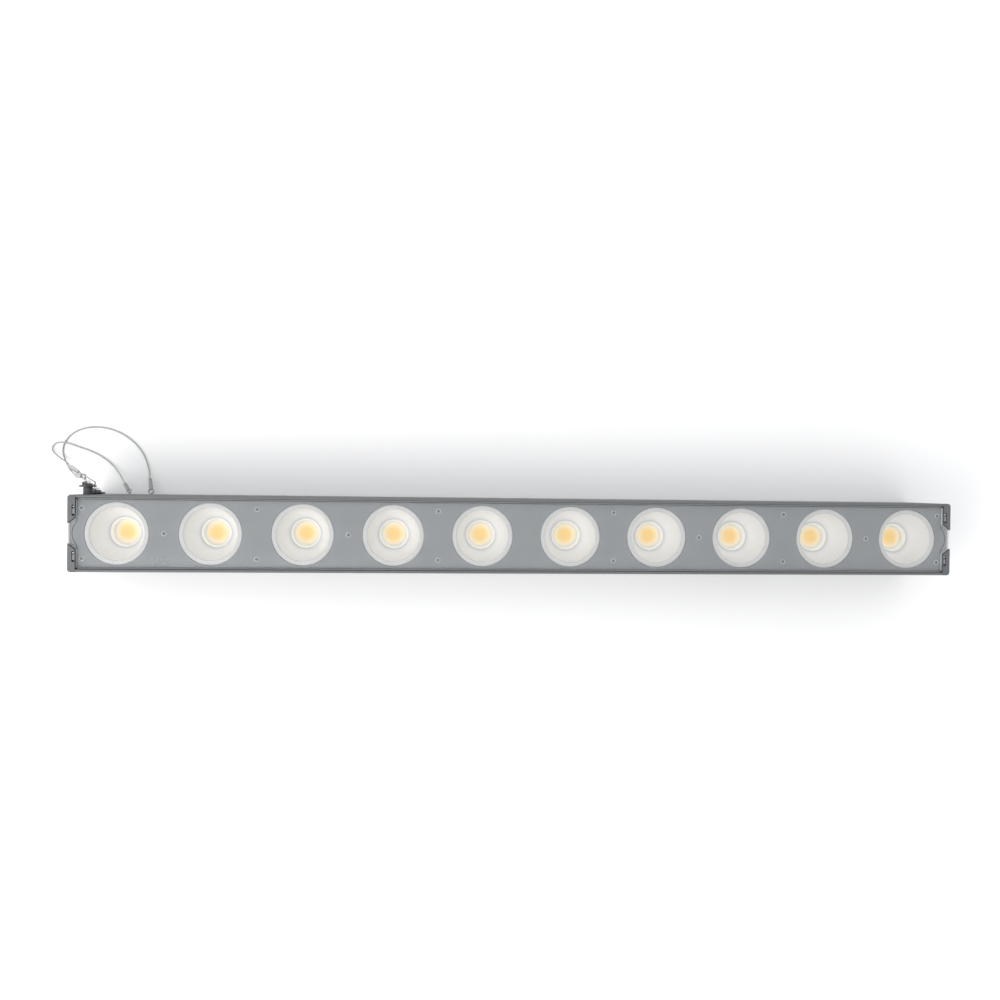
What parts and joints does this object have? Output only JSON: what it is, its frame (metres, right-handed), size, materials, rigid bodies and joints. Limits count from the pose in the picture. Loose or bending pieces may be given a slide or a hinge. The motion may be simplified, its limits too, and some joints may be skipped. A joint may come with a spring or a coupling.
{
  "type": "led strip batten",
  "caption": "Slim stage light batten with a row of deep white reflector cups behind a clear cover, and quick-release lock pins held by wire lanyards.",
  "frame": {"origin": "middle of the flat back, on the base rail's centre land", "axes": "+X along the batten, +Y towards the side with the lock pins, +Z out of the light openings"},
  "size_m": [1.0515, 0.1651, 0.1],
  "materials": {
    "body_grey": "satin grey powder coat",
    "rail_aluminium": "anodised",
    "cap_grey": "satin dark grey",
    "plate_grey": "matt grey",
    "cover_clear": "clear, polished edges",
    "seal_rubber": "matt",
    "sink_aluminium": "mill finish",
    "supply_case": "folded sheet",
    "board_green": "solder mask",
    "block_aluminium": "machined",
    "panel_black": "matt",
    "display_glass": "gloss",
    "power_blue": "moulded",
    "power_grey": "moulded",
    "data_black": "moulded",
    "cup_white": "matt off-white",
    "led_phosphor": "silicone over phosphor",
    "menu_button": "matt",
    "pin_black": "black oxide",
    "button_steel": "bright",
    "ring_steel": "bright",
    "rope_steel": "stranded wire",
    "ferrule_metal": "crimped",
    "staple_steel": "bright"
  },
  "bodies": {
    "root": {"base_rail": "rail_aluminium", "breather_vent": "panel_black", "clear_cover": "cover_clear", "cob_led_01": "led_phosphor", "cob_led_02": "led_phosphor", "cob_led_03": "led_phosphor", "cob_led_04": "led_phosphor", "cob_led_05": "led_phosphor", "cob_led_06": "led_phosphor", "cob_led_07": "led_phosphor", "cob_led_08": "led_phosphor", "cob_led_09": "led_phosphor", "cob_led_10": "led_phosphor", "control_board": "board_green", "cover_seal_lower": "seal_rubber", "cover_seal_upper": "seal_rubber", "data_inlet": "data_black", "data_outlet": "data_black", "display_window": "display_glass", "driver_board": "board_green", "end_cap_left": "cap_grey", "end_cap_right": "cap_grey", "face_plate": "plate_grey", "heat_sink": "sink_aluminium", "housing": "body_grey", "lanyard_lower": "rope_steel", "lanyard_staple_lower": "staple_steel", "lanyard_staple_upper": "staple_steel", "lanyard_upper": "rope_steel", "link_block_left": "block_aluminium", "link_block_right": "block_aluminium", "panel_fascia": "panel_black", "power_inlet": "power_blue", "power_outlet": "power_grey", "power_supply": "supply_case", "reflector_cup_01": "cup_white", "reflector_cup_02": "cup_white", "reflector_cup_03": "cup_white", "reflector_cup_04": "cup_white", "reflector_cup_05": "cup_white", "reflector_cup_06": "cup_white", "reflector_cup_07": "cup_white", "reflector_cup_08": "cup_white", "reflector_cup_09": "cup_white", "reflector_cup_10": "cup_white", "wall_ferrule_lower": "ferrule_metal", "wall_ferrule_upper": "ferrule_metal"},
    "pin_upper": {"lock_pin_upper": "pin_black", "split_ring_upper": "ring_steel", "pin_ferrule_upper": "ferrule_metal"},
    "button_upper": {"pin_button_upper": "button_steel"},
    "pin_lower": {"lock_pin_lower": "pin_black", "split_ring_lower": "ring_steel", "pin_ferrule_lower": "ferrule_metal"},
    "button_lower": {"pin_button_lower": "button_steel"},
    "menu_1": {"menu_button_1": "menu_button"},
    "menu_2": {"menu_button_2": "menu_button"},
    "menu_3": {"menu_button_3": "menu_button"},
    "menu_4": {"menu_button_4": "menu_button"}
  },
  "joints": [
    {"name": "pin_upper_pull", "type": "slide", "parent": "root", "child": "pin_upper", "axis": [0, 1, 0], "range_m": [-0.0075, 0.028], "deforming": ["lanyard_upper"]},
    {"name": "pin_upper_button", "type": "slide", "parent": "pin_upper", "child": "button_upper", "axis": [0, -1, 0], "range_m": [0, 0.0025], "stiffness_N_per_m": 400, "springref_m": -0.003},
    {"name": "pin_lower_pull", "type": "slide", "parent": "root", "child": "pin_lower", "axis": [0, 1, 0], "range_m": [0, 0.034], "deforming": ["lanyard_lower"]},
    {"name": "pin_lower_button", "type": "slide", "parent": "pin_lower", "child": "button_lower", "axis": [0, -1, 0], "range_m": [0, 0.0025], "stiffness_N_per_m": 400, "springref_m": -0.003},
    {"name": "menu_1_press", "type": "slide", "parent": "root", "child": "menu_1", "axis": [0, 1, 0], "range_m": [0, 0.0008], "stiffness_N_per_m": 600, "springref_m": -0.001},
    {"name": "menu_2_press", "type": "slide", "parent": "root", "child": "menu_2", "axis": [0, 1, 0], "range_m": [0, 0.0008], "stiffness_N_per_m": 600, "springref_m": -0.001},
    {"name": "menu_3_press", "type": "slide", "parent": "root", "child": "menu_3", "axis": [0, 1, 0], "range_m": [0, 0.0008], "stiffness_N_per_m": 600, "springref_m": -0.001},
    {"name": "menu_4_press", "type": "slide", "parent": "root", "child": "menu_4", "axis": [0, 1, 0], "range_m": [0, 0.0008], "stiffness_N_per_m": 600, "springref_m": -0.001}
  ]
}
